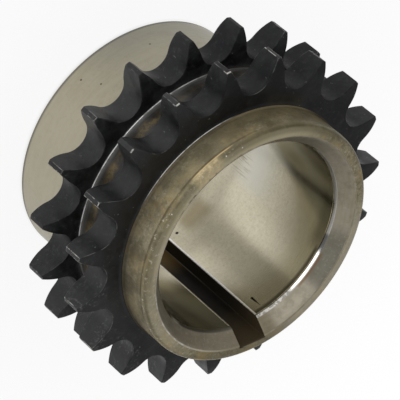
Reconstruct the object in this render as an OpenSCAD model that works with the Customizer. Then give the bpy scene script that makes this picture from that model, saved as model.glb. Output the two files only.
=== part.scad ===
// Crankshaft gear: a one-piece steel sprocket with two tooth rows for a
// duplex roller chain, a hub on each side of the rows and a keyed bore.
// The axis is Z and the rear end of the hub stands on z = 0, so the
// lead-in of the bore faces up. The keyway lies on +Y. Millimetres.

/* [Chain and teeth] */
// Number of teeth in each row
teeth = 19; // [18:1:26]
// Pitch of the roller chain
chain_pitch = 9.525; // [9.2:0.005:9.8]
// Diameter of the chain's rollers
roller_d = 6.35; // [6.2:0.01:6.45]
// Distance between the middles of the two rows
row_spacing = 10.24; // [9.6:0.02:11.5]
// Width of a row at the foot of its teeth
tooth_w = 5.17; // [4.6:0.01:5.6]
// Width of a tooth at its tip
tip_w = 3.72; // [3.2:0.01:4.2]
// Height of the tips above the pitch circle
tip_above_pitch = 2.365; // [1.8:0.005:2.5]
// Angle from the keyway back to the nearest tooth
tooth_lag = 5.83; // [0:0.01:18]
// Depth of the groove between the rows, below the roots of the teeth
groove_step = 1.5; // [0.5:0.1:1.8]

/* [Hub] */
// Outside diameter of the hub, the same in front and behind
hub_d = 45.45; // [43.6:0.05:46]
// Length of the hub in front of the front row
front_hub_l = 6.4; // [5:0.1:14]
// Length of the hub behind the rear row
rear_hub_l = 14.1; // [6:0.1:24]
// Radius of the rounded front edge of the hub
front_edge_r = 1.1; // [0.3:0.05:1.4]
// Chamfer of the rear edge of the hub
rear_edge_c = 0.4; // [0.2:0.05:1]
// Radius of the turned corners at the feet of the rows
corner_r = 0.8; // [0.3:0.1:1.2]

/* [Bore and keyway] */
// Diameter of the bore
bore_d = 36.1; // [32:0.1:37]
// Width of the conical lead-in at the front of the bore
lead_w = 2.45; // [1.2:0.05:2.8]
// Depth of the lead-in along the axis
lead_l = 2.6; // [1.4:0.1:4]
// Radius of the edge between the lead-in and the bore
lead_edge_r = 0.95; // [0.5:0.05:1.2]
// Chamfer at the rear of the bore
rear_bore_c = 0.8; // [0.3:0.1:1.5]
// Width of the keyway
key_w = 5.15; // [3:0.05:8]
// Depth of the keyway below the bore
key_depth = 2.6; // [1.5:0.1:2.9]

/* [Hidden] */
$fn = 96;
// Chain geometry: circle of the roller centres, root and tip of the teeth
pitch_r = chain_pitch / (2 * sin(180 / teeth));
seat_r = 0.505 * roller_d;
root_r = pitch_r - seat_r;
tip_r = pitch_r + tip_above_pitch;
// Half of the angle that a roller's seat spans, and the flank above it
seat_half = 68.37 - 45 / teeth;
flank_r = 3.46 * roller_d;
// The flank's centre is this much nearer, so the two arcs cross cleanly
arc_cross = 0.004;
flank_reach = seat_r + flank_r - arc_cross;
// Rounded sides of the teeth: an arc from the side face out to the tip
side_relief = (tooth_w - tip_w) / 2;
side_arc_r = chain_pitch;
side_arc_h = sqrt(2 * side_arc_r * side_relief - side_relief * side_relief);
side_arc_start = tip_r - side_arc_h;
// Arcs sink this far into the faces that they blend
sink = 0.01;
hub_r = hub_d / 2;
// Bottom of the groove, which is never cut into the hub
groove_r = max(root_r - groove_step, hub_r);
bore_r = bore_d / 2;
key_floor = bore_r + key_depth;
// Heights of the two rows and of the whole part
rear_row_z = rear_hub_l + tooth_w / 2;
front_row_z = rear_row_z + row_spacing;
total_l = front_row_z + tooth_w / 2 + front_hub_l;
// Foot of the lead-in, its slope from the axis and the arc that ends it
lead_z = total_l - lead_l;
lead_slope = atan(lead_w / lead_l);
lead_tangent = lead_edge_r * tan(lead_slope / 2);
// How far a cutting shape runs past the face it cuts
over = 1;

// Space between two teeth: a roller's seat and the flanks that open from it
module tooth_gap() {
    seat_x = pitch_r - seat_r * cos(seat_half);
    seat_y = seat_r * sin(seat_half);
    open_x = tip_r + over;
    open_y = open_x * tan(180 / teeth);
    translate([pitch_r, 0]) circle(r = seat_r);
    difference() {
        polygon([[pitch_r - seat_r / 4, 0], [seat_x, seat_y], [open_x, open_y],
                 [open_x, -open_y], [seat_x, -seat_y]]);
        for (side = [-1, 1])
            translate([pitch_r - flank_reach * cos(seat_half), side * flank_reach * sin(seat_half)])
                circle(r = flank_r);
    }
}

// Outline of a row, with a tooth at the given lag behind the keyway
module row_outline() {
    difference() {
        circle(r = tip_r);
        for (i = [0 : teeth - 1])
            rotate(90 - tooth_lag + (i + 0.5) * 360 / teeth) tooth_gap();
    }
}

// Half section of a row: flat sides, then arcs that narrow it to the tip
module row_section() {
    translate([0, -tooth_w / 2]) square([side_arc_start, tooth_w]);
    intersection() {
        translate([side_arc_start - over, -tooth_w / 2]) square([side_arc_h + 2 * over, tooth_w]);
        side_arcs();
    }
}

// The two side arcs of a row, as the lens that they enclose
module side_arcs() {
    intersection() {
        translate([side_arc_start, tooth_w / 2 - side_arc_r]) circle(r = side_arc_r);
        translate([side_arc_start, side_arc_r - tooth_w / 2]) circle(r = side_arc_r);
    }
}

// One row of teeth, in the middle plane z = 0
module tooth_row() {
    intersection() {
        translate([0, 0, -tooth_w / 2 - over]) linear_extrude(tooth_w + 2 * over) row_outline();
        rotate_extrude() row_section();
    }
}

// Turned corner between a cylinder of radius r and a face at height z,
// above that face or below it
module corner_section(r, z, below) {
    translate([r, z]) mirror([0, below ? 1 : 0]) difference() {
        translate([-over / 2, -over / 2]) square(corner_r + over / 2 - sink);
        translate([corner_r - sink, corner_r - sink]) circle(r = corner_r);
    }
}

// Half section of the hub with the land between the rows
module hub_section() {
    difference() {
        square([hub_r, total_l]);
        translate([hub_r - rear_edge_c, 0]) rotate(-45) translate([0, -over]) square([over, 2 * over + rear_edge_c]);
        difference() {
            translate([hub_r - front_edge_r, total_l - front_edge_r]) square(front_edge_r + over);
            translate([hub_r - front_edge_r + sink, total_l - front_edge_r + sink]) circle(r = front_edge_r);
        }
    }
    translate([0, rear_row_z]) square([groove_r, row_spacing]);
    corner_section(hub_r, rear_row_z - tooth_w / 2, true);
    corner_section(groove_r, rear_row_z + tooth_w / 2, false);
    corner_section(groove_r, front_row_z - tooth_w / 2, true);
    corner_section(hub_r, front_row_z + tooth_w / 2, false);
}

// Half section of the bore, with its lead-in and its rear chamfer
module bore_section() {
    over_w = over * lead_w / lead_l;
    translate([0, -over]) square([bore_r, total_l + 2 * over]);
    polygon([[0, lead_z], [bore_r, lead_z], [bore_r + lead_w + over_w, total_l + over], [0, total_l + over]]);
    polygon([[0, rear_bore_c], [bore_r, rear_bore_c], [bore_r + rear_bore_c + over, -over], [0, -over]]);
    difference() {
        polygon([[bore_r - over / 2, lead_z - lead_tangent], [bore_r, lead_z - lead_tangent],
                 [bore_r + lead_tangent * sin(lead_slope), lead_z + lead_tangent * cos(lead_slope)],
                 [bore_r - over / 2, lead_z + lead_tangent]]);
        translate([bore_r + lead_edge_r - sink, lead_z - lead_tangent + sink * tan(lead_slope / 2)])
            circle(r = lead_edge_r);
    }
}

module keyway() {
    translate([-key_w / 2, 0, -over]) cube([key_w, key_floor, total_l + 2 * over]);
}

module crankshaft_gear() {
    color([0.36, 0.34, 0.30]) difference() {
        union() {
            rotate_extrude() hub_section();
            translate([0, 0, rear_row_z]) tooth_row();
            translate([0, 0, front_row_z]) tooth_row();
        }
        rotate_extrude() bore_section();
        keyway();
    }
}

crankshaft_gear();
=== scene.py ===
# Crankshaft gear, dressed for rendering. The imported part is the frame. One finer
# mesh with broken edges stands in its place, and its steel finishes follow its
# zones. Lengths are millimetres until the mesh is written, in metres.
import math

import bpy
import numpy as np
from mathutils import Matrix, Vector


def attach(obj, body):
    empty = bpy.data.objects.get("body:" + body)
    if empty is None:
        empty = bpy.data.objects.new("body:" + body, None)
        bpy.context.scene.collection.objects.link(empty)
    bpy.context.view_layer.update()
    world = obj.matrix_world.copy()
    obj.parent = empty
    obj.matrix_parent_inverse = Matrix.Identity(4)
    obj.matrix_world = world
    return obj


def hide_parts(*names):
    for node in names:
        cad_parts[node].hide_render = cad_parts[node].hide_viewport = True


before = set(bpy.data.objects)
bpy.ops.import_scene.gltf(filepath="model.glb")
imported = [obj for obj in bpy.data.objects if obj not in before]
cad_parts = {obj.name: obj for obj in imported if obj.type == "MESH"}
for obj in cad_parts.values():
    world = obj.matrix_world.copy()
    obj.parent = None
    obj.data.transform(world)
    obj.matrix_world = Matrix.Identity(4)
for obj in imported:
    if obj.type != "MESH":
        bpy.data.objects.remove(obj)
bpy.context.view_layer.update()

# Sizes of the part, the same as in its source
TEETH = 19
CHAIN_PITCH = 9.525
ROLLER_D = 6.35
ROW_SPACING = 10.24
TOOTH_W = 5.17
TIP_W = 3.72
TIP_ABOVE_PITCH = 2.365
TOOTH_LAG = math.radians(5.83)
GROOVE_STEP = 1.5
HUB_R = 22.725
FRONT_HUB_L = 6.4
REAR_HUB_L = 14.1
FRONT_EDGE_R = 1.1
REAR_EDGE_C = 0.4
CORNER_R = 0.8
BORE_R = 18.05
LEAD_W = 2.45
LEAD_L = 2.6
LEAD_EDGE_R = 0.95
REAR_BORE_C = 0.8
KEY_W = 5.15
KEY_DEPTH = 2.6
MM_PER_M = 1000

# Usual sprocket formulas: pitch circle, seat of a roller, half of the angle that the seat
# spans, flank above it, and the circles of the roots and the tips
PITCH_R = CHAIN_PITCH / (2 * math.sin(math.pi / TEETH))
SEAT_R = 0.505 * ROLLER_D
SEAT_HALF = math.radians(68.37 - 45 / TEETH)
FLANK_R = 3.46 * ROLLER_D
ROOT_R = PITCH_R - SEAT_R
TIP_R = PITCH_R + TIP_ABOVE_PITCH
# Rounded sides of the teeth
SIDE_RELIEF = (TOOTH_W - TIP_W) / 2
SIDE_ARC_R = CHAIN_PITCH
SIDE_ARC_START = TIP_R - math.sqrt(2 * SIDE_ARC_R * SIDE_RELIEF - SIDE_RELIEF ** 2)
# Floors of the groove and of the keyway, middles of the rows and length of the part
GROOVE_R = ROOT_R - GROOVE_STEP
KEY_FLOOR = BORE_R + KEY_DEPTH
REAR_ROW_Z = REAR_HUB_L + TOOTH_W / 2
FRONT_ROW_Z = REAR_ROW_Z + ROW_SPACING
TOTAL_L = FRONT_ROW_Z + TOOTH_W / 2 + FRONT_HUB_L
# Mouth, foot and slope of the lead-in, and the length of the arc's tangents at its foot
LEAD_R = BORE_R + LEAD_W
LEAD_Z = TOTAL_L - LEAD_L
LEAD_SLOPE = math.atan(LEAD_W / LEAD_L)
LEAD_TANGENT = LEAD_EDGE_R * math.tan(LEAD_SLOPE / 2)

# Worn edges of the teeth, of the keyway and of the lead-in's mouth
TOOTH_EDGE = 0.12
TIP_CORNER = 0.16
KEY_EDGE = 0.2
RING_EDGE = 0.15
# A bend of the keyway takes at most this share of its wall
KEY_BEND_SHARE = 0.4
# The mouth's broken edge has a loop at this share of its width
RING_EDGE_SHARE = 0.3
# Blunt edge at the foot of the lead-in: rise of its foot, drop of its end, and its two bends
BLUNT_RISE = 0.12
BLUNT_DROP = 0.05
BLUNT_TOP_BEND = 0.08
BLUNT_FOOT_BEND = 0.12

# Points along a tooth gap's half outline: seat, flank and rounded corner of the tip
SEAT_POINTS = 9
FLANK_POINTS = 8
BEND_POINTS = 4
# Points from the middle of a tip to its rounded corner
LAND_POINTS = 2
# Steps that find where a flank meets the tip circle
HALVINGS = 60
# Points of the keyway's half outline: floor, inner corner, wall, edge
KEY_FLOOR_POINTS = 6
KEY_WALL_POINTS = 5
KEY_BEND_POINTS = 3
KEY_INSIDE = KEY_FLOOR_POINTS + KEY_WALL_POINTS + KEY_BEND_POINTS
KEY_POINTS = KEY_INSIDE + KEY_BEND_POINTS
# Loops over the stretches of the skin
SIDE_LOOPS = 6
REAR_HUB_LOOPS = 6
GROOVE_LOOPS = 5
FRONT_HUB_LOOPS = 5
ROUND_LOOPS = 8
CONE_LOOPS = 5
BORE_LOOPS = 8
BLUNT_TOP_LOOPS = 3
BLUNT_FOOT_LOOPS = 5
# Where loops lie: across a tooth, round its broken edge, round a turned corner and down the cone.
# The last flat loop of a tooth's side is so many edges inside its outline.
WALL_SHARES = (-0.5, 0.0, 0.5)
EDGE_ANGLES = (30, 60)
FOOT_ANGLES = (0, 18, 36, 54, 72, 90)
CONE_SHARE = 0.9
RIM_EDGES = 1.8


def bend(start, corner, end, count):
    """Points of a smooth bend from start to end round a corner, both ends included."""
    points = []
    for t in np.linspace(0, 1, count):
        points.append((1 - t) ** 2 * start + 2 * t * (1 - t) * corner + t ** 2 * end)
    return points


def on_circle(radius, angle):
    return np.array([radius * math.cos(angle), radius * math.sin(angle)])


def flank_top(centre):
    """Angle at which a flank's arc meets the tip circle."""
    low = -SEAT_HALF
    high = 0.0
    for _ in range(HALVINGS):
        middle = (low + high) / 2
        if np.hypot(*(centre + on_circle(FLANK_R, middle))) < TIP_R:
            low = middle
        else:
            high = middle
    return low


def gap_outline():
    """Outline of one tooth gap round +X, from the middle of one tip to just before the next."""
    reach = SEAT_R + FLANK_R
    centre = np.array([PITCH_R - reach * math.cos(SEAT_HALF), reach * math.sin(SEAT_HALF)])
    top = flank_top(centre)
    tip_corner = centre + on_circle(FLANK_R, top)
    tip_angle = math.atan2(tip_corner[1], tip_corner[0])
    cut = TIP_CORNER * math.tan((tip_angle - top) / 2)
    upper = []
    for angle in np.linspace(0, SEAT_HALF, SEAT_POINTS):
        upper.append(np.array([PITCH_R - SEAT_R * math.cos(angle), SEAT_R * math.sin(angle)]))
    flank_end = top - cut / FLANK_R
    for angle in np.linspace(-SEAT_HALF, flank_end, FLANK_POINTS)[1:-1]:
        upper.append(centre + on_circle(FLANK_R, angle))
    land_start = tip_angle + cut / TIP_R
    flank_point = centre + on_circle(FLANK_R, flank_end)
    upper += bend(flank_point, tip_corner, on_circle(TIP_R, land_start), BEND_POINTS)
    half = math.pi / TEETH
    upper.append(on_circle(TIP_R, (land_start + half) / 2))
    lower = [np.array([p[0], -p[1]]) for p in reversed(upper[1:])]
    return [on_circle(TIP_R, -half)] + lower + upper


def row_outline():
    """Outline of a row, anticlockwise from the keyway's middle on +Y.

    Two more lists mark the points in the rounded corners of the tips and those on the tip lands."""
    gap = np.array(gap_outline())
    order = np.arange(len(gap))
    from_tip = np.minimum(order, len(gap) - order)
    tip_line = np.tile(np.isin(from_tip, (LAND_POINTS + 1, LAND_POINTS + 2)).astype(float), TEETH)
    tip_land = np.tile((from_tip < LAND_POINTS + BEND_POINTS).astype(float), TEETH)
    points = []
    for i in range(TEETH):
        angle = math.pi / 2 - TOOTH_LAG + (i + 0.5) * 2 * math.pi / TEETH
        turn = np.array([[math.cos(angle), math.sin(angle)], [-math.sin(angle), math.cos(angle)]])
        points.append(gap @ turn)
    points = np.concatenate(points)
    from_key = np.mod(np.arctan2(points[:, 1], points[:, 0]) - math.pi / 2, 2 * math.pi)
    around = np.argsort(from_key)
    return points[around], tip_line[around], tip_land[around]


OUTLINE, TIP_LINE, TIP_LAND = row_outline()
COUNT = len(OUTLINE)
ANGLES = np.arctan2(OUTLINE[:, 1], OUTLINE[:, 0])
TANGENT = np.roll(OUTLINE, -1, axis=0) - np.roll(OUTLINE, 1, axis=0)
NORMAL = np.stack([TANGENT[:, 1], -TANGENT[:, 0]], axis=1)
NORMAL /= np.linalg.norm(NORMAL, axis=1)[:, None]

loops = []
zones = []


def add_loop(points, heights, zone):
    """One closed loop of the skin; zone names the strip from it to the next loop."""
    rows = np.empty((COUNT, 3))
    rows[:, :2] = points
    rows[:, 2] = heights
    loops.append(rows)
    zones.append(zone)


def circle(radius):
    """A whole circle, with a point at the angle of each point of a row's outline."""
    return np.stack([radius * np.cos(ANGLES), radius * np.sin(ANGLES)], axis=1)


def ring(radius, height, zone):
    add_loop(circle(radius), height, zone)


def keyed_ring(radius, height, zone, widen=0.0):
    """A circle that the keyway opens; widen moves the keyway's sides out at a broken edge."""
    half = KEY_W / 2 + widen
    floor = KEY_FLOOR + widen
    edge = math.sqrt(radius ** 2 - half ** 2)
    room = min(KEY_EDGE, (floor - edge) * KEY_BEND_SHARE)
    first = math.asin(half / radius) + room / radius
    side = [np.array([x, floor]) for x in np.linspace(0, half - room, KEY_FLOOR_POINTS + 1)[:-1]]
    side += bend(np.array([half - room, floor]), np.array([half, floor]), np.array([half, floor - room]),
                 KEY_BEND_POINTS)
    walls = np.linspace(floor - room, edge + room, KEY_WALL_POINTS + 2)[1:-1]
    side += [np.array([half, y]) for y in walls]
    start = np.array([radius * math.sin(first), radius * math.cos(first)])
    side += bend(np.array([half, edge + room]), np.array([half, edge]), start, KEY_BEND_POINTS)
    side = np.array(side)
    left = side * np.array([-1, 1])
    right = side[1:][::-1]
    arc_count = COUNT - len(left) - len(right)
    arc = np.linspace(first, 2 * math.pi - first, arc_count + 2)[1:-1] + math.pi / 2
    bow = np.stack([radius * np.cos(arc), radius * np.sin(arc)], axis=1)
    add_loop(np.concatenate([left, bow, right]), height, zone)


def side_height(radius):
    """Half width of a row at a radius: flat, then an arc to the tip."""
    past = np.clip(radius - SIDE_ARC_START, 0, None)
    return TOOTH_W / 2 - SIDE_ARC_R + np.sqrt(SIDE_ARC_R ** 2 - past ** 2)


def row_side(inner_r, row_z, direction, name):
    """Loops over one side of a row, from its foot to its broken edge."""
    inner = circle(inner_r)
    outer = OUTLINE - TOOTH_EDGE * NORMAL
    rim = OUTLINE - RIM_EDGES * TOOTH_EDGE * NORMAL
    made = []
    for share in np.linspace(0, 1, SIDE_LOOPS)[1:]:
        points = inner + (rim - inner) * share
        made.append((points, row_z + direction * side_height(np.hypot(*points.T)), name + "_side"))
    made.append((outer, row_z + direction * side_height(np.hypot(*outer.T)), name + "_edge"))
    reach = side_height(np.hypot(*OUTLINE.T)) - TOOTH_EDGE
    for angle in EDGE_ANGLES:
        out = math.sin(math.radians(angle))
        up = math.cos(math.radians(angle))
        points = OUTLINE - TOOTH_EDGE * (1 - out) * NORMAL
        made.append((points, row_z + direction * (reach + TOOTH_EDGE * up), name + "_edge"))
    made.append((OUTLINE, row_z + direction * reach, name + "_wall"))
    return made


def row(row_z, rear_inner_r, front_inner_r, name):
    """Loops over a whole row: rear side, wall across the teeth, front side."""
    for points, heights, zone in row_side(rear_inner_r, row_z, -1, name + "_back"):
        add_loop(points, heights, zone)
    reach = side_height(np.hypot(*OUTLINE.T)) - TOOTH_EDGE
    for share in WALL_SHARES:
        add_loop(OUTLINE, row_z + share * reach, name + "_back_wall")
    front = row_side(front_inner_r, row_z, 1, name + "_front")
    names = [zone for _, _, zone in front]
    for i in reversed(range(len(front))):
        points, heights, _ = front[i]
        add_loop(points, heights, names[max(i - 1, 0)])


def foot(radius, height, direction, strips):
    """Loops of a turned corner, from the cylinder up to the face or from the face down to the cylinder.

    Each strip has the angle at which it starts, from 0 on the cylinder to 90 on the face, and its zone."""
    for start, zone in strips:
        angle = math.radians(start)
        r = radius + CORNER_R * (1 - math.cos(angle))
        z = height - direction * CORNER_R * (1 - math.sin(angle))
        ring(r, z, zone)


def rear_hub_skin():
    """Rear end and the hub behind the rows."""
    keyed_ring(BORE_R + REAR_BORE_C, 0, "rear_face")
    ring(HUB_R - REAR_EDGE_C, 0, "rear_chamfer")
    for z in np.linspace(REAR_EDGE_C, REAR_HUB_L - CORNER_R, REAR_HUB_LOOPS)[:-1]:
        ring(HUB_R, z, "rear_hub")
    foot(HUB_R, REAR_HUB_L, 1, [(angle, "rear_foot") for angle in FOOT_ANGLES])


def groove_skin():
    """Groove between the rows, with a painted highlight line in its corner beside the rear row."""
    rear_z = REAR_ROW_Z + TOOTH_W / 2
    front_z = FRONT_ROW_Z - TOOTH_W / 2
    foot(GROOVE_R, rear_z, -1, [
        # The strip from 46 degrees is a painted highlight line
        (90, "rear_row"), (72, "rear_row"), (54, "rear_row"), (46, "highlight_line"),
        (34, "groove"), (18, "groove"), (0, "groove"),
    ])
    for z in np.linspace(rear_z + CORNER_R, front_z - CORNER_R, GROOVE_LOOPS)[1:-1]:
        ring(GROOVE_R, z, "groove")
    foot(GROOVE_R, front_z, 1, [(angle, "groove") for angle in FOOT_ANGLES])


def front_hub_skin():
    """Hub in front of the rows, with a painted highlight line in its corner, its rounded edge and its flat
    ring.
    """
    face_z = FRONT_ROW_Z + TOOTH_W / 2
    foot(HUB_R, face_z, -1, [
        # The strip from 51 degrees is a painted highlight line
        (90, "front_row"), (70, "front_row"), (51, "highlight_line"),
        (42, "front_hub"), (28, "front_hub"), (14, "front_hub"), (0, "front_hub"),
    ])
    for z in np.linspace(face_z + CORNER_R, TOTAL_L - FRONT_EDGE_R, FRONT_HUB_LOOPS)[1:-1]:
        ring(HUB_R, z, "front_hub")
    for angle in np.linspace(0, math.pi / 2, ROUND_LOOPS):
        r = HUB_R - FRONT_EDGE_R * (1 - math.cos(angle))
        z = TOTAL_L - FRONT_EDGE_R * (1 - math.sin(angle))
        ring(r, z, "front_round")
    zones[-1] = "front_ring"
    ring((HUB_R - FRONT_EDGE_R + LEAD_R) / 2, TOTAL_L, "front_ring")


def bore_skin():
    """Lead-in with its broken mouth and its blunt foot, and the bore down to its rear chamfer."""
    middle = RING_EDGE_SHARE * RING_EDGE
    keyed_ring(LEAD_R + RING_EDGE, TOTAL_L, "ring_edge", RING_EDGE)
    keyed_ring(LEAD_R + middle / 2, TOTAL_L - middle, "ring_edge", middle)
    down = -np.array([math.sin(LEAD_SLOPE), math.cos(LEAD_SLOPE)])
    cone_top = np.array([LEAD_R, TOTAL_L]) + RING_EDGE * down
    cone_foot = np.array([BORE_R, LEAD_Z]) - LEAD_TANGENT * down
    for share in np.linspace(0, CONE_SHARE, CONE_LOOPS):
        r, z = cone_top + (cone_foot - cone_top) * share
        keyed_ring(r, z, "lead_in")
    edge_foot = np.array([BORE_R, LEAD_Z - LEAD_TANGENT + BLUNT_RISE])
    edge_end = np.array([BORE_R, LEAD_Z - LEAD_TANGENT - BLUNT_DROP])
    up = (cone_foot - edge_foot) / np.linalg.norm(cone_foot - edge_foot)
    blunt = bend(cone_foot - BLUNT_TOP_BEND * down, cone_foot, cone_foot - BLUNT_TOP_BEND * up,
                 BLUNT_TOP_LOOPS)
    blunt += bend(edge_foot + BLUNT_FOOT_BEND * up, edge_foot, edge_end, BLUNT_FOOT_LOOPS)
    for r, z in blunt:
        keyed_ring(r, z, "lead_edge")
    zones[-1] = "bore"
    for z in np.linspace(edge_end[1], REAR_BORE_C, BORE_LOOPS)[1:]:
        keyed_ring(BORE_R, z, "bore")
    zones[-1] = "rear_bore_chamfer"


def linear(red, green, blue):
    """A colour given in display values from 0 to 255, as the shader takes it."""
    made = []
    for value in (red, green, blue):
        value /= 255
        made.append(value / 12.92 if value <= 0.04045 else ((value + 0.055) / 1.055) ** 2.4)
    return (*made, 1.0)


def new_material(name):
    """A material whose node tree is empty."""
    material = bpy.data.materials.new(name)
    material.use_nodes = True
    material.node_tree.nodes.clear()
    return material


class Nodes:
    """Small helper that adds nodes to one tree and links them."""

    def __init__(self, tree, coordinates):
        self.nodes = tree.nodes
        self.links = tree.links
        self.place = self.nodes.new("ShaderNodeTexCoord").outputs[coordinates]

    def feed(self, socket, value):
        """Links a socket to another one, or sets it to a plain value."""
        if isinstance(value, bpy.types.NodeSocket):
            self.links.new(value, socket)
        else:
            socket.default_value = value

    def math(self, operation, first, second=0.0):
        node = self.nodes.new("ShaderNodeMath")
        node.operation = operation
        self.feed(node.inputs[0], first)
        self.feed(node.inputs[1], second)
        return node.outputs[0]

    def times(self, first, *others):
        """Product of masks and plain numbers."""
        for other in others:
            first = self.math("MULTIPLY", first, other)
        return first

    def plus(self, first, *others):
        """Sum of masks and plain numbers."""
        for other in others:
            first = self.math("ADD", first, other)
        return first

    def most(self, first, *others):
        """The largest of masks and plain numbers."""
        for other in others:
            first = self.math("MAXIMUM", first, other)
        return first

    def measure(self, operation, vector):
        node = self.nodes.new("ShaderNodeVectorMath")
        node.operation = operation
        self.feed(node.inputs[0], self.place)
        node.inputs[1].default_value = vector
        return node.outputs["Value"]

    def distance(self, point):
        """How far the place is from a point."""
        return self.measure("DISTANCE", point)

    def toward(self, direction):
        """How far the place lies in a direction."""
        return self.measure("DOT_PRODUCT", direction)

    def ramp(self, value, low, high, low_to=0.0, high_to=1.0):
        """A smooth change from low_to to high_to while the value goes from low to high."""
        node = self.nodes.new("ShaderNodeMapRange")
        node.interpolation_type = "SMOOTHSTEP"
        self.feed(node.inputs["Value"], value)
        node.inputs["From Min"].default_value = low
        node.inputs["From Max"].default_value = high
        self.feed(node.inputs["To Min"], low_to)
        node.inputs["To Max"].default_value = high_to
        return node.outputs["Result"]


class Paint(Nodes):
    """One finish of the gear, with masks by the side, the radius and the height of a place on it."""

    BUMP_DEPTH = 0.0001

    def __init__(self, name):
        self.material = new_material(name)
        super().__init__(self.material.node_tree, "Object")
        output = self.nodes.new("ShaderNodeOutputMaterial")
        self.shader = self.nodes.new("ShaderNodeBsdfPrincipled")
        self.links.new(self.shader.outputs["BSDF"], output.inputs["Surface"])
        self.colour = None
        self.lines = None
        self.set_polar()

    def set_polar(self):
        """Direction round the axis, then radius, height and depth along the turned profile in millimetres."""
        node = self.nodes.new("ShaderNodeSeparateXYZ")
        self.feed(node.inputs[0], self.place)
        x, y, z = node.outputs
        radius = self.math("SQRT", self.plus(self.times(x, x), self.times(y, y)))
        self.across = self.math("DIVIDE", x, radius)
        self.along = self.math("DIVIDE", y, radius)
        self.radius = self.times(radius, MM_PER_M)
        self.height = self.times(z, MM_PER_M)
        self.depth = self.times(self.plus(radius, z), MM_PER_M)
        self.from_key = self.times(self.math("ABSOLUTE", x), MM_PER_M)

    def noise(self, scale, detail=4.0, roughness=0.55, vector=None):
        node = self.nodes.new("ShaderNodeTexNoise")
        self.feed(node.inputs["Vector"], self.place if vector is None else vector)
        node.inputs["Scale"].default_value = scale
        node.inputs["Detail"].default_value = detail
        node.inputs["Roughness"].default_value = roughness
        return node.outputs["Fac"]

    def marks(self, turns, fineness, detail=3.0, depth=None):
        """Noise drawn out round the axis, as turning leaves it.

        turns sets how short it is round the axis, and fineness how fine along the depth."""
        node = self.nodes.new("ShaderNodeCombineXYZ")
        self.feed(node.inputs[0], self.times(self.across, turns))
        self.feed(node.inputs[1], self.times(self.along, turns))
        self.feed(node.inputs[2], self.times(self.depth if depth is None else depth, fineness))
        return self.noise(1.0, detail, 0.6, node.outputs[0])

    def mix(self, share, first, second):
        """A blend of two colours, whose sockets are the seventh and the eighth of the node."""
        node = self.nodes.new("ShaderNodeMix")
        node.data_type = "RGBA"
        self.feed(node.inputs["Factor"], share)
        self.feed(node.inputs[6], first)
        self.feed(node.inputs[7], second)
        return node.outputs[2]

    def cover(self, colour, *masks):
        """Puts a colour over the finish, by the product of the masks."""
        self.colour = self.mix(self.times(*masks), self.colour, colour)

    def spots(self, places):
        """Mask of small round spots, each given by radius, angle, height and its own radius."""
        masks = []
        for radius, angle, height, size in places:
            x, y = on_circle(radius / MM_PER_M, math.radians(angle))
            away = self.distance((x, y, height / MM_PER_M))
            masks.append(self.ramp(away, 0.5 * size / MM_PER_M, size / MM_PER_M, 1.0, 0.0))
        return self.most(*masks)

    def facing(self, middle):
        """Cosine of the angle round the axis from one azimuth."""
        angle = math.radians(middle)
        return self.plus(self.times(self.across, math.cos(angle)), self.times(self.along, math.sin(angle)))

    def sector(self, middle, inner, outer):
        """Mask round one azimuth: full within the inner angle, gone beyond the outer one, all in degrees."""
        return self.ramp(self.facing(middle), math.cos(math.radians(outer)), math.cos(math.radians(inner)))

    def turn(self, middle):
        """Angle round the axis from one azimuth, in degrees."""
        angle = self.math("ARCTAN2", self.facing(middle + 90), self.facing(middle))
        return self.times(angle, 180 / math.pi)

    def band(self, low, high, soft):
        """Mask of the heights from low to high, with soft ends."""
        start = self.ramp(self.height, low - soft, low + soft)
        return self.times(start, self.ramp(self.height, high - soft, high + soft, 1.0, 0.0))

    def wear(self):
        """How worn the mesh is at the place."""
        node = self.nodes.new("ShaderNodeAttribute")
        node.attribute_name = "wear"
        return node.outputs["Fac"]

    def bump(self, height, strength):
        node = self.nodes.new("ShaderNodeBump")
        node.inputs["Strength"].default_value = strength
        node.inputs["Distance"].default_value = self.BUMP_DEPTH
        self.feed(node.inputs["Height"], height)
        self.links.new(node.outputs["Normal"], self.shader.inputs["Normal"])

    def turn_marks(self, strength):
        """Fine lines round the axis, as a slight bump."""
        self.lines = self.marks(9.0, 9.0)
        self.bump(self.lines, strength)

    def polish(self, low, high):
        """Roughness that varies from one fine line to the next."""
        return self.ramp(self.lines, 0.3, 0.7, low, high)

    def finish(self, roughness, metallic):
        """The material, with the colour so far."""
        self.feed(self.shader.inputs["Base Color"], self.colour)
        self.feed(self.shader.inputs["Roughness"], roughness)
        self.feed(self.shader.inputs["Metallic"], metallic)
        return self.material


# Spots by radius, angle in degrees and height, with the spot's own radius
REAR_PITS = [(HUB_R, -55.9, 2.99, 0.26), (HUB_R, -60.0, 6.75, 0.24), (HUB_R, -88.6, 5.34, 0.24)]
BORE_PIT = (BORE_R, 104.5, 7.94, 0.36)
BORE_SCRATCH = [(BORE_R, 104.6, 29.5 + 0.3 * i, 0.32 - 0.03 * i) for i in range(8)]
HUB_NICKS = [(22.3, -71.0, 35.7, 0.16), (22.4, -38.0, 35.6, 0.14), (22.0, -79.0, 35.8, 0.14)]
# Knocks on the tips of three teeth: along the front corner of each, and down one corner of two
KNOCKED_TEETH = (-48.45, -67.4, -86.35)
KNOCK_Z = 28.7
KNOCK_R = 0.2
TIP_KNOCKS = []
for step in range(4):
    TIP_KNOCKS += [(TIP_R, tooth + 0.6 - 0.35 * step, KNOCK_Z, KNOCK_R) for tooth in KNOCKED_TEETH]
    TIP_KNOCKS += [(TIP_R, tooth + 0.95, KNOCK_Z - 0.25 * step, KNOCK_R) for tooth in KNOCKED_TEETH[1:]]


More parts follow.
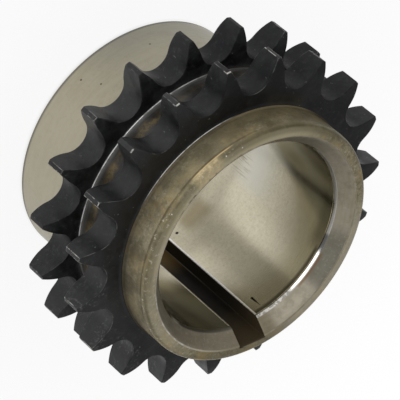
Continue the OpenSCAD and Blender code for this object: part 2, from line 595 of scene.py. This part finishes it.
def oxide():
    """Black oxide on the tooth rows: clouded, stained, scuffed and dusty, worn bright along the tips, with
    painted shade on one side of the front face and of the tips' wear.
    """
    paint = Paint("black_oxide")
    cloud = paint.noise(420.0, 6.0, 0.7)
    grain = paint.noise(1100.0, 5.0, 0.7)
    broad = paint.ramp(paint.noise(150.0, 3.0, 0.6), 0.36, 0.62)
    clouded = paint.ramp(cloud, 0.34, 0.66)
    darker = paint.mix(clouded, linear(7, 8, 9), linear(26, 27, 30))
    paler = paint.mix(clouded, linear(20, 21, 22), linear(44, 45, 45))
    paint.colour = paint.mix(broad, darker, paler)
    paint.cover(linear(62, 63, 63), paint.ramp(grain, 0.5, 0.75, 0.0, 0.6))
    front_face_stain_and_shade(paint, cloud)
    scuff_teeth(paint)
    dust = paint.ramp(paint.noise(1300.0, 3.0, 0.6), 0.68, 0.76, 0.0, 0.6)
    paint.cover(linear(140, 140, 138), dust)
    wear_tips(paint, grain)
    dull_sheen(paint)
    paint.bump(grain, 0.2)
    return paint.finish(paint.ramp(cloud, 0.3, 0.7, 0.4, 0.6), 0.1)


def front_face_stain_and_shade(paint, cloud):
    """A brown smear beside the hub, and painted shade that makes one side of the front row's face blacker."""
    fading = paint.ramp(paint.radius, 23.2, 25.6, 0.5, 0.0)
    uneven = paint.ramp(cloud, 0.38, 0.6, 0.5, 1.2)
    on_face = paint.ramp(paint.height, 29.0, 29.4)
    paint.cover(linear(80, 71, 52), paint.sector(-113, 3, 13), on_face, fading, uneven)
    # Painted shade: one side of the front row's face is blacker
    paint.cover(linear(6, 7, 7), paint.sector(-70, 44, 62), paint.ramp(paint.height, 28.9, 29.25), 0.55)


def scuff_teeth(paint):
    """Grey scratches in patches on the teeth of one side, fewer on the rear row."""
    outer = paint.times(paint.ramp(paint.radius, 25.6, 26.4), paint.ramp(paint.height, 22.0, 24.0, 0.35, 1.0))
    patches = paint.ramp(paint.noise(240.0, 2.0), 0.42, 0.58)
    scratches = paint.ramp(paint.noise(1700.0, 4.0, 0.7), 0.5, 0.66, 0.0, 0.75)
    paint.cover(linear(92, 93, 92), paint.sector(32, 24, 44), outer, patches, scratches)


def wear_tips(paint, grain):
    """Bare steel where the edges are worn, less on the rear row, dimmed on one side by painted shade, and at
    the knocks.
    """
    patches = paint.ramp(paint.noise(130.0, 2.0), 0.42, 0.6)
    chips = paint.ramp(paint.noise(800.0, 3.0), 0.4, 0.62)
    # Painted shade: the worn steel is dimmed on one side
    dimmed_by_shade = paint.math("SUBTRACT", 1.0, paint.times(paint.sector(-77, 14, 20), 0.6))
    worn = paint.times(paint.wear(), chips, patches, paint.ramp(paint.height, 19.5, 23.5, 0.6, 1.0), dimmed_by_shade)
    knocked = paint.times(paint.spots(TIP_KNOCKS), paint.ramp(grain, 0.4, 0.55))
    paint.cover(linear(210, 208, 200), paint.most(worn, knocked))


def dull_sheen(paint):
    """Less sheen on one side of the rows, low on the rear teeth and on another side of the front face."""
    one_side = paint.times(paint.sector(-140, 48, 76), 0.26)
    low_teeth = paint.times(paint.sector(-10, 15, 40), paint.ramp(paint.height, 19.5, 23.5, 0.15, 0.0))
    face = paint.times(paint.sector(55, 20, 45), paint.ramp(paint.height, 28.9, 29.25, 0.0, 0.14))
    sheen = paint.math("SUBTRACT", 0.5, paint.plus(one_side, low_teeth, face))
    paint.feed(paint.shader.inputs["Specular IOR Level"], sheen)


def groove():
    """Floor of the groove: oxide, paler grey in streaks beside the rear row, with a brown stain of dried
    chain oil.
    """
    paint = Paint("stained_groove")
    cloud = paint.noise(330.0, 5.0, 0.6)
    paint.colour = paint.mix(paint.ramp(cloud, 0.3, 0.7), linear(35, 35, 36), linear(58, 58, 57))
    streaks = paint.ramp(paint.marks(4.0, 2.2), 0.35, 0.6, 0.25, 0.8)
    paint.cover(linear(104, 103, 100), paint.band(18.8, 20.5, 0.6), streaks)
    broken = paint.ramp(paint.noise(900.0, 4.0, 0.7), 0.4, 0.6, 0.25, 0.9)
    patchy = paint.ramp(cloud, 0.38, 0.58, 0.3, 1.0)
    near_side = paint.ramp(paint.turn(-50), -20.0, -14.0, 0.3, 1.0)
    paint.cover(linear(112, 96, 60), paint.band(20.7, 22.4, 0.6), patchy, near_side, broken)
    return paint.finish(0.42, 0.4)


def highlight_line():
    """Thin line in a turned corner: a painted highlight, silver where the highlight falls and dull brown
    elsewhere.
    """
    paint = Paint("corner_highlight")
    in_groove = paint.times(paint.sector(-42, 22, 58), paint.ramp(paint.height, 24.0, 28.0, 1.0, 0.0))
    at_hub = paint.times(paint.sector(-60, 8, 30), paint.ramp(paint.height, 24.0, 28.0))
    broken = paint.ramp(paint.marks(14.0, 1.0), 0.3, 0.55, 0.35, 1.0)
    paint.colour = linear(44, 40, 34)
    # Painted highlight: silver along the corner, on the sides where it catches the light
    paint.cover(linear(226, 226, 224), paint.plus(in_groove, at_hub), broken)
    return paint.finish(0.34, 0.85)


def front_hub():
    """Turned front hub: grained and blotched brown, with tones and painted light and shade by side, and a
    painted highlight and wear at its rounded edge.
    """
    paint = Paint("turned_hub")
    paint.turn_marks(0.08)
    stains = paint.noise(230.0, 6.0, 0.7)
    grain = paint.noise(1000.0, 4.0, 0.7)
    flat = paint.ramp(paint.height, 35.6, 35.85)
    outside = paint.math("SUBTRACT", 1.0, flat)
    hub_grain(paint, stains, grain)
    hub_blotches(paint, outside)
    hub_sides(paint, outside)
    hub_ring(paint, flat)
    hub_rounding(paint, stains)
    hub_wear_and_highlight(paint, flat, grain)
    return paint.finish(paint.polish(0.44, 0.56), 0.75)


def hub_grain(paint, stains, grain):
    """Streaks round the hub, with dark and pale grain."""
    uneven = paint.times(paint.plus(paint.marks(5.0, 1.1, 5.0), stains), 0.5)
    paint.colour = paint.mix(paint.ramp(uneven, 0.4, 0.62), linear(164, 156, 130), linear(150, 140, 112))
    paint.cover(linear(112, 103, 76), paint.ramp(grain, 0.45, 0.64, 0.0, 0.6))
    paint.cover(linear(111, 103, 77), paint.ramp(paint.noise(2600.0, 2.0, 0.6), 0.42, 0.68, 0.0, 0.45))
    paint.cover(linear(208, 199, 174), paint.ramp(paint.noise(1900.0, 2.0, 0.6), 0.54, 0.66, 0.0, 0.4))


def hub_blotches(paint, outside):
    """Long patches and small blotches, golden ones all over and dull ones on the outside."""
    patches = paint.marks(3.2, 0.18, 4.0)
    paint.cover(linear(178, 154, 104), paint.ramp(patches, 0.5, 0.6, 0.0, 0.65))
    paint.cover(linear(102, 92, 66), paint.ramp(patches, 0.36, 0.48, 0.5, 0.0), outside)
    blotches = paint.noise(300.0, 3.0, 0.6)
    paint.cover(linear(188, 168, 122), paint.ramp(blotches, 0.52, 0.62, 0.0, 0.4))
    paint.cover(linear(98, 88, 62), paint.ramp(blotches, 0.38, 0.48, 0.55, 0.0), outside)


def hub_sides(paint, outside):
    """Painted shade, browner towards the top of the view; an olive area up to a slanting edge; painted light,
    paler near the camera and at the left.
    """
    # Painted shade: browner towards the top of the view
    paint.cover(linear(110, 99, 71), paint.sector(-100, 18, 45), 0.42)
    slant = paint.plus(paint.turn(-116), paint.times(paint.plus(paint.height, -30.0), 1.2))
    olive = paint.ramp(slant, -2.5, 1.0, 0.6, 0.0)
    paint.cover(linear(96, 93, 66), olive, paint.sector(-140, 25, 50), outside)
    # Painted light: paler near the camera
    paint.cover(linear(196, 187, 156), paint.sector(-64, 12, 28), outside, 0.22)
    paint.cover(linear(90, 82, 58), outside, 0.12)
    # Painted light: paler at the left
    paint.cover(linear(196, 187, 163), paint.sector(0, 15, 50), outside, 0.2)


def hub_ring(paint, flat):
    """Flat ring: painted light makes it paler on three sides; it is darker beside the keyway."""
    # Painted light: the flat ring paler on three sides
    paint.cover(linear(200, 194, 174), paint.sector(140, 26, 46), flat, 0.6)
    paint.cover(linear(208, 199, 166), paint.sector(-65, 35, 70), flat, 0.7)
    paint.cover(linear(206, 198, 174), paint.sector(8, 22, 46), flat, 0.4)
    paint.cover(linear(100, 96, 76), paint.sector(84, 16, 36), flat, 0.45)


def hub_rounding(paint, stains):
    """Painted shade in the foot's corner, a brown line below the rounded edge, painted shade on the rounding,
    beside it and at the left, and painted light low on the top side.
    """
    rounding_shade = linear(96, 91, 66)
    top_side = paint.sector(-105, 30, 40)
    # Painted shade darkens the corner at the hub's foot
    paint.cover(linear(62, 52, 38), paint.ramp(paint.height, 29.9, 30.6, 0.75, 0.0))
    edge_line = paint.times(paint.band(34.42, 34.78, 0.12), paint.ramp(stains, 0.4, 0.55, 0.3, 0.65))
    paint.cover(linear(84, 68, 46), edge_line, paint.sector(-25, 50, 75))
    # Painted shade on the rounding, low and at the top
    low_rounding = paint.times(paint.band(34.55, 35.65, 0.2), paint.sector(-2, 48, 56))
    top_rounding = paint.times(paint.band(34.9, 35.65, 0.2), top_side)
    paint.cover(rounding_shade, paint.plus(low_rounding, top_rounding), 0.5)
    # Painted shade on the ring beside the rounding
    rim_start = paint.ramp(paint.radius, 20.9, 21.9, 0.0, 0.5)
    rim_end = paint.ramp(paint.radius, 22.1, 22.45, 1.0, 0.0)
    paint.cover(rounding_shade, rim_start, rim_end, paint.plus(paint.sector(-30, 20, 42), top_side))
    # Painted shade at the left
    paint.cover(linear(90, 84, 62), paint.band(33.4, 34.6, 0.4), paint.sector(10, 14, 30), 0.35)
    # Painted light low on the hub's top side
    pale_foot = paint.ramp(paint.height, 30.6, 32.4, 0.35, 0.0)
    paint.cover(linear(186, 172, 134), pale_foot, paint.sector(-107, 14, 30))


def hub_wear_and_highlight(paint, flat, grain):
    """A golden line that is a painted highlight and a pale patch on the near side, dark dashes at the mouth,
    flecks and nicks.
    """
    # Painted highlight: a golden line along the start of the rounded edge
    paint.cover(linear(232, 204, 150), paint.band(34.78, 34.98, 0.1), paint.sector(-65, 7, 12), 0.85)
    patch = paint.times(paint.band(35.0, 36.2, 0.15), paint.sector(-61, 3, 9))
    paint.cover(linear(224, 204, 160), patch, paint.ramp(grain, 0.36, 0.6, 0.9, 0.4))
    inner = paint.times(flat, paint.ramp(paint.radius, 20.8, 21.0, 1.0, 0.0))
    dashes = paint.ramp(paint.noise(500.0, 3.0, 0.6), 0.5, 0.57, 0.0, 0.6)
    paint.cover(linear(60, 52, 38), inner, dashes, paint.sector(-60, 14, 26))
    flecks = paint.ramp(paint.noise(1500.0, 3.0, 0.65), 0.6, 0.68, 0.0, 0.6)
    edge = paint.ramp(paint.height, 34.5, 34.8)
    paint.cover(linear(222, 214, 194), flecks, edge, paint.sector(-10, 45, 75))
    paint.cover(linear(245, 242, 232), paint.spots(HUB_NICKS))


def chipped():
    """Edge between the front ring and the lead-in, paler towards the left as a painted highlight, chipped
    bright in places and dark in others.
    """
    paint = Paint("chipped_edge")
    # Painted highlight: the edge is paler towards the left
    paint.colour = paint.mix(paint.sector(5, 50, 75), linear(160, 151, 130), linear(196, 189, 170))
    chips = paint.ramp(paint.noise(620.0, 4.0, 0.65), 0.5, 0.6)
    paint.cover(linear(232, 228, 215), chips, paint.plus(paint.times(paint.sector(-20, 58, 75), 0.85), 0.15))
    gaps = paint.ramp(paint.noise(420.0, 3.0, 0.6), 0.52, 0.58, 0.0, 0.7)
    paint.cover(linear(44, 38, 29), gaps, paint.sector(-64, 12, 24))
    return paint.finish(0.42, 0.9)


def keyway():
    """Keyway: dark, with paler walls, and painted light on its corners low down and towards both ends, brown
    at the front and golden-brown on the floor at the rear.
    """
    paint = Paint("dark_keyway")
    cloud = paint.noise(420.0, 4.0, 0.6)
    paint.colour = paint.mix(paint.ramp(cloud, 0.3, 0.7), linear(20, 18, 15), linear(34, 30, 24))
    paint.cover(linear(62, 57, 48), paint.ramp(paint.from_key, 2.3, 2.5, 0.0, 0.8))
    # Painted light: brown towards the front end
    paint.cover(linear(84, 71, 50), paint.ramp(paint.height, 24.0, 35.0, 0.0, 0.7))
    # Painted light on the corners low down
    corner_start = paint.ramp(paint.from_key, 2.38, 2.46)
    corner_end = paint.ramp(paint.from_key, 2.5, 2.56, 1.0, 0.0)
    lower_half = paint.ramp(paint.height, 8.0, 22.0, 0.9, 0.0)
    paint.cover(linear(150, 146, 128), corner_start, corner_end, lower_half)
    # Painted light: golden-brown on the floor at the rear end
    floor_end = paint.ramp(paint.height, 8.0, 15.0, 0.9, 0.0)
    paint.cover(linear(150, 124, 78), paint.ramp(paint.from_key, 2.3, 2.5, 1.0, 0.0), floor_end)
    paint.bump(cloud, 0.1)
    paint.shader.inputs["Specular IOR Level"].default_value = 0.25
    return paint.finish(0.5, 0.15)


def turned(name, pale, dark, streaked):
    """Turned or ground steel with fine marks round the axis; streaked sets how much its streaks show."""
    paint = Paint(name)
    paint.turn_marks(0.08 * streaked)
    uneven = paint.times(paint.plus(paint.marks(5.0, 1.3), paint.noise(180.0, 6.0, 0.7)), 0.5)
    paint.colour = paint.mix(paint.ramp(uneven, 0.4, 0.62, 0.0, streaked), pale, dark)
    paint.cover(dark, paint.ramp(paint.noise(1000.0, 4.0, 0.7), 0.5, 0.75, 0.0, 0.6))
    return paint


def bore():
    """Ground bore: faintly mottled and specked, with stains, painted reflection and painted shade by side and
    height, and a few marks.
    """
    paint = turned("ground_bore", linear(210, 203, 180), linear(190, 181, 156), 0.25)
    paint.cover(linear(152, 143, 118), paint.ramp(paint.noise(2300.0, 2.0, 0.6), 0.4, 0.7, 0.0, 0.2))
    paint.cover(linear(128, 108, 76), paint.ramp(paint.noise(1500.0, 2.0, 0.6), 0.7, 0.76, 0.0, 0.35))
    bore_stains_and_reflections(paint)
    mark_bore(paint)
    return paint.finish(paint.polish(0.15, 0.22), 1.0)


def bore_stains_and_reflections(paint):
    """A brown stain low down and a greyer upper half; painted reflection as a pale patch on one side, dark
    beside the keyway and in a slanting wedge; painted shade below the lead-in and a painted shadow line right
    under it.
    """
    paint.cover(linear(160, 147, 117), paint.sector(119, 5, 12), paint.band(5.0, 9.3, 1.5), 0.8)
    paint.cover(linear(154, 150, 134), paint.ramp(paint.height, 18.0, 32.0, 0.0, 0.75))
    # Painted reflection: a pale patch on one side
    paint.cover(linear(200, 198, 186), paint.sector(166, 8, 22), paint.band(9.0, 17.0, 4.0), 0.9)
    # Painted reflection: dark beside the keyway
    paint.cover(linear(76, 74, 58), paint.sector(69, 11, 18), paint.ramp(paint.height, 16.5, 22.0, 0.0, 0.9))
    # Painted reflection: greyer beyond a slanting edge
    slant = paint.plus(paint.turn(150), paint.times(paint.height, 1.2))
    paint.cover(linear(112, 114, 102), paint.ramp(slant, 46.0, 54.0, 0.0, 0.65), paint.sector(185, 30, 50))
    # Painted shade below the lead-in
    paint.cover(linear(96, 94, 80), paint.sector(166, 9, 22), paint.ramp(paint.height, 29.2, 31.8, 0.0, 0.75))
    # Painted shadow: a dark line right under the lead-in
    under_edge = paint.ramp(paint.height, 31.9, 32.5, 0.0, 0.75)
    paint.cover(linear(50, 48, 38), paint.sector(122, 24, 30), under_edge)


def mark_bore(paint):
    """Drag marks along the axis, and a pit and a scratch."""
    drag = paint.ramp(paint.marks(70.0, 0.2, 2.0, paint.height), 0.5, 0.62, 0.0, 0.6)
    paint.cover(linear(136, 129, 112), paint.sector(160, 5, 9), paint.band(8.0, 11.5, 1.5), drag)
    paint.cover(linear(12, 11, 9), paint.spots([BORE_PIT] + BORE_SCRATCH))


def lead_in():
    """Turned lead-in: brown beside the keyway, grey and pale by side as painted reflection, mottled, with a
    thin brown fringe.
    """
    paint = turned("turned_lead", linear(184, 176, 157), linear(164, 154, 132), 0.5)
    paint.cover(linear(118, 108, 88), paint.sector(60, 20, 45), 0.5)
    # Painted reflection: grey on one side
    paint.cover(linear(112, 113, 104), paint.sector(146, 8, 22), 0.6)
    # Painted reflection: pale on another side
    paint.cover(linear(220, 212, 192), paint.sector(119, 8, 16), 0.45)
    paint.cover(linear(118, 110, 92), paint.ramp(paint.noise(480.0, 5.0, 0.7), 0.44, 0.66, 0.0, 0.3))
    paint.cover(linear(214, 208, 192), paint.ramp(paint.noise(2000.0, 2.0, 0.6), 0.54, 0.72, 0.0, 0.2))
    paint.cover(linear(130, 116, 88), paint.sector(98, 4, 9), 0.4)
    fringe = paint.ramp(paint.height, 33.8, 34.1, 0.6, 0.0)
    paint.cover(linear(142, 104, 70), paint.sector(137, 9, 12), fringe)
    return paint.finish(paint.polish(0.36, 0.48), 0.95)


def lead_edge():
    """Bright edge at the foot of the lead-in, broken here and there, darker on two sides as painted
    reflection, and rougher on some sides.
    """
    paint = turned("bright_lead", linear(226, 223, 216), linear(205, 200, 190), 0.5)
    # Painted reflection: darker on two sides
    paint.cover(linear(112, 107, 92), paint.sector(62, 18, 24), 0.85)
    paint.cover(linear(84, 84, 86), paint.sector(153, 4, 7), 0.75)
    broken = paint.ramp(paint.noise(900.0, 3.0, 0.6), 0.46, 0.56, 0.0, 0.7)
    paint.cover(linear(132, 130, 122), paint.sector(110, 10, 14), broken)
    rough_sides = paint.plus(paint.sector(202, 18, 28), paint.sector(58, 22, 30))
    return paint.finish(paint.plus(paint.polish(0.08, 0.14), paint.times(rough_sides, 0.3)), 1.0)


def rear_hub():
    """Ground rear hub: greyer on one side and paler on another as painted reflection, with a grey rim of
    painted shade and three pits.
    """
    paint = turned("ground_hub", linear(167, 161, 141), linear(149, 142, 121), 0.4)
    fading = paint.ramp(paint.height, 1.5, 8.0, 0.6, 0.25)
    # Painted reflection: greyer on one side, paler on another
    paint.cover(linear(128, 127, 118), paint.sector(-97, 12, 42), fading)
    paint.cover(linear(186, 180, 160), paint.sector(-20, 12, 40), 0.35)
    # Painted shade: a grey rim along the rear edge
    rim = paint.ramp(paint.height, 0.6, 1.05, 0.65, 0.0)
    paint.cover(linear(84, 84, 83), rim, paint.ramp(paint.radius, 22.5, 22.65))
    paint.cover(linear(40, 35, 28), paint.spots(REAR_PITS), 0.75)
    return paint.finish(paint.polish(0.36, 0.46), 0.9)


def bright_edge():
    """Bright edges of the keyway along the bore: paler steel, partly a painted highlight."""
    paint = turned("bright_edge", linear(245, 243, 238), linear(225, 221, 212), 0.5)
    return paint.finish(paint.polish(0.25, 0.35), 1.0)


# Finishes in the order of the mesh's material slots, and the zones that aren't oxide
FINISHES = {
    "oxide": oxide,
    "front_hub": front_hub,
    "lead_in": lead_in,
    "chipped": chipped,
    "lead_edge": lead_edge,
    "bore": bore,
    "keyway": keyway,
    "rear_hub": rear_hub,
    "groove": groove,
    "highlight_line": highlight_line,
    "edge": bright_edge,
}
SLOTS = list(FINISHES)
ZONE_FINISH = {
    "rear_face": "rear_hub",
    "rear_chamfer": "rear_hub",
    "rear_hub": "rear_hub",
    "highlight_line": "highlight_line",
    "groove": "groove",
    "front_hub": "front_hub",
    "front_round": "front_hub",
    "front_ring": "front_hub",
    "ring_edge": "chipped",
    "lead_in": "lead_in",
    "lead_edge": "lead_edge",
    "bore": "bore",
    "rear_bore_chamfer": "bore",
}
# Zones that the keyway crosses
KEYED = ("ring_edge", "lead_in", "lead_edge", "bore", "rear_bore_chamfer")
# Wear of the teeth's side edges, where the tips have 1, and the angle from which an edge is sharp
SIDE_WEAR = 0.16
SHARP_ANGLE = math.radians(40)


def strip_slots(zone):
    """Material slot of each face in one strip of the skin."""
    slots = np.full(COUNT, SLOTS.index(ZONE_FINISH.get(zone, "oxide")), dtype=np.int32)
    if zone in KEYED:
        slots[:KEY_INSIDE] = SLOTS.index("keyway")
        slots[COUNT - KEY_INSIDE:] = SLOTS.index("keyway")
    if zone == "bore":
        slots[KEY_INSIDE:KEY_POINTS] = SLOTS.index("edge")
        slots[COUNT - KEY_POINTS:COUNT - KEY_INSIDE] = SLOTS.index("edge")
    return slots


def skin_wear():
    """How worn each point of the skin is: the broken edges of the teeth, and most of all their tips."""
    wear = np.zeros((len(loops), COUNT), dtype=np.float32)
    for i, zone in enumerate(zones):
        before = zones[i - 1]
        if not zone.startswith(("rear_row", "front_row")):
            continue
        if zone.endswith("_edge") and before.endswith("_edge"):
            wear[i] = SIDE_WEAR + (1 - SIDE_WEAR) * TIP_LAND
        elif "wall" in zone or "wall" in before:
            wear[i] = TIP_LINE
    return wear


def make_mesh():
    """The closed skin as one mesh, with its finish on each face and its wear on each point."""
    points = np.concatenate(loops) / MM_PER_M
    here = np.arange(COUNT)
    after = (here + 1) % COUNT
    faces = []
    for i in range(len(loops)):
        base = i * COUNT
        above = (i + 1) % len(loops) * COUNT
        faces.append(np.stack([base + here, base + after, above + after, above + here], axis=1))
    faces = np.concatenate(faces)
    mesh = bpy.data.meshes.new("gear_skin")
    mesh.from_pydata(points.tolist(), [], faces.tolist())
    mesh.polygons.foreach_set("material_index", np.concatenate([strip_slots(zone) for zone in zones]))
    mesh.polygons.foreach_set("use_smooth", np.ones(len(faces), dtype=bool))
    mesh.attributes.new("wear", "FLOAT", "POINT").data.foreach_set("value", skin_wear().ravel())
    mesh.validate()
    mesh.update()
    mesh.set_sharp_from_angle(angle=SHARP_ANGLE)
    return mesh


def add_object(name, data):
    made = bpy.data.objects.new(name, data)
    bpy.context.scene.collection.objects.link(made)
    return made


# The skin, from the rear end out over the rows to the front and back through the bore
rear_hub_skin()
row(REAR_ROW_Z, HUB_R + CORNER_R, GROOVE_R + CORNER_R, "rear_row")
groove_skin()
row(FRONT_ROW_Z, GROOVE_R + CORNER_R, HUB_R + CORNER_R, "front_row")
front_hub_skin()
bore_skin()
gear_mesh = make_mesh()
for make_finish in FINISHES.values():
    gear_mesh.materials.append(make_finish())
gear = add_object("gear", gear_mesh)
even = gear.modifiers.new("even_normals", "WEIGHTED_NORMAL")
even.keep_sharp = True
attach(gear, "root")
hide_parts("crankshaft_gear")

# Floor and light, in metres
WHITE = (1, 1, 1, 1)
FLOOR_GREY = (0.9, 0.9, 0.9, 1)
FLOOR_HALF = 3
FLOOR_DROP = 0.00005
CENTRE = (0, 0, 0)
ALONG_X = (1, 0, 0)
ACROSS_VIEW = (0.78, 0.62, 0)
ALONG_VIEW = (0.62, -0.78, 0)
ACROSS_EDGE = (0.842, 0.542, 0)
BRIGHT_SPOT = (-0.0082, 0.0062, 0)
# How much of the floor's white the camera sees through the bore
SEEN_INSIDE = 0.4


def white_around(nodes):
    """Share of white round the gear: none under its hub, most of it near, all of it far away."""
    away = nodes.distance(CENTRE)
    # The fade next to the hub is partly a painted soft shadow
    return nodes.times(nodes.ramp(away, 0.0205, 0.0232), nodes.ramp(away, 0.024, 0.12, 0.91, 1.0))


def white_mirrored(nodes):
    """Share of white under the bore, painted light and shade that the bore's wall mirrors.

    One side is lit, up to a soft edge, and falls off across the view and at its far end. The other side
    is dim, with a bright spot towards -X, and dark close to the wall there."""
    across = nodes.toward(ACROSS_VIEW)
    along = nodes.toward(ALONG_VIEW)
    sideways = nodes.toward(ALONG_X)
    lit_edge = nodes.ramp(nodes.toward(ACROSS_EDGE), -0.0017, 0.0010)
    lit_fall = nodes.ramp(across, 0.001, 0.017, 0.95, 0.42)
    lit_end = nodes.ramp(along, -0.0125, -0.0095, 0.65, 1.0)
    lit = nodes.times(lit_edge, lit_fall, lit_end)
    dim_end = nodes.ramp(along, -0.010, 0.004, 0.8, 0.36)
    dim = nodes.ramp(across, -0.009, -0.0025, dim_end, 0.28)
    spot = nodes.ramp(nodes.distance(BRIGHT_SPOT), 0.0024, 0.0044, 0.5, 0.0)
    side_gain = nodes.ramp(sideways, -0.0066, -0.0046, 1.4, 1.0)
    dark_rim = nodes.ramp(sideways, -0.0175, -0.0125, 0.1, 1.0)
    return nodes.times(nodes.most(lit, dim, spot), side_gain, dark_rim)


def floor_white():
    """Matt floor that is white to the camera and to reflections, apart from the gear's partly painted soft
    shadow.

    Only reflections see the painted light and shade under the bore."""
    material = new_material("white_floor")
    nodes = Nodes(material.node_tree, "Object")
    matt = nodes.nodes.new("ShaderNodeBsdfDiffuse")
    matt.inputs["Color"].default_value = FLOOR_GREY
    glow = nodes.nodes.new("ShaderNodeEmission")
    glow.inputs["Color"].default_value = WHITE
    glow.inputs["Strength"].default_value = 1.0
    around = white_around(nodes)
    inside = nodes.ramp(nodes.distance(CENTRE), 0.0190, 0.0205, 1.0, 0.0)
    path = nodes.nodes.new("ShaderNodeLightPath").outputs
    seen = nodes.times(nodes.most(nodes.times(inside, SEEN_INSIDE), around), path["Is Camera Ray"])
    bounced = nodes.most(path["Is Glossy Ray"], path["Is Transmission Ray"])
    mirrored = nodes.times(nodes.most(nodes.times(white_mirrored(nodes), inside), around), bounced)
    blend = nodes.nodes.new("ShaderNodeMixShader")
    nodes.feed(blend.inputs[0], nodes.most(seen, mirrored))
    nodes.feed(blend.inputs[1], matt.outputs[0])
    nodes.feed(blend.inputs[2], glow.outputs[0])
    output = nodes.nodes.new("ShaderNodeOutputMaterial")
    nodes.feed(output.inputs["Surface"], blend.outputs[0])
    return material


def add_floor():
    """A large square just below the gear."""
    mesh = bpy.data.meshes.new("floor")
    corners = [(-1, -1), (1, -1), (1, 1), (-1, 1)]
    mesh.from_pydata([(FLOOR_HALF * x, FLOOR_HALF * y, 0) for x, y in corners], [], [(0, 1, 2, 3)])
    mesh.materials.append(floor_white())
    floor = add_object("floor", mesh)
    floor.location.z = -FLOOR_DROP
    return floor


def light_world():
    """Pale soft world, brighter above and behind the camera to its left, and white to the camera itself."""
    world = bpy.data.worlds.new("studio")
    bpy.context.scene.world = world
    world.use_nodes = True
    sky = Nodes(world.node_tree, "Generated")
    above = sky.ramp(sky.toward((0, 0, 1)), -0.05, 0.6, 0.0, 0.24)
    behind = sky.ramp(sky.toward((0.34, -0.94, 0)), 0.55, 0.97, 0.0, 0.45)
    seen = sky.nodes.new("ShaderNodeLightPath").outputs["Is Camera Ray"]
    background = sky.nodes["Background"]
    background.inputs["Color"].default_value = WHITE
    sky.feed(background.inputs["Strength"], sky.most(sky.plus(above, behind, 0.28), seen))


def add_panel():
    """A low, wide panel of soft light on the camera's side."""
    place = Vector((0.394, -0.308, 0.14))
    target = Vector((0, 0, 0.03))
    panel = bpy.data.lights.new("panel", "AREA")
    panel.shape = "RECTANGLE"
    panel.size = 0.43
    panel.size_y = 0.14
    panel.energy = 0.35
    made = add_object("panel", panel)
    made.location = place
    made.rotation_euler = (target - place).to_track_quat("-Z", "Y").to_euler()


def add_camera():
    """Camera at the photograph's viewpoint, turned as it was there."""
    lens = bpy.data.cameras.new("camera")
    lens.lens = 298.0721
    lens.sensor_width = 36.0
    lens.clip_start = 0.01
    lens.clip_end = 20.0
    camera = add_object("camera", lens)
    camera.location = (0.269464, -0.334757, 0.368410)
    camera.rotation_euler = [math.radians(angle) for angle in (-38.7146, -36.2380, -177.6396)]
    bpy.context.scene.camera = camera


floor = add_floor()
light_world()
add_panel()
add_camera()
bpy.context.scene.view_settings.view_transform = "Standard"
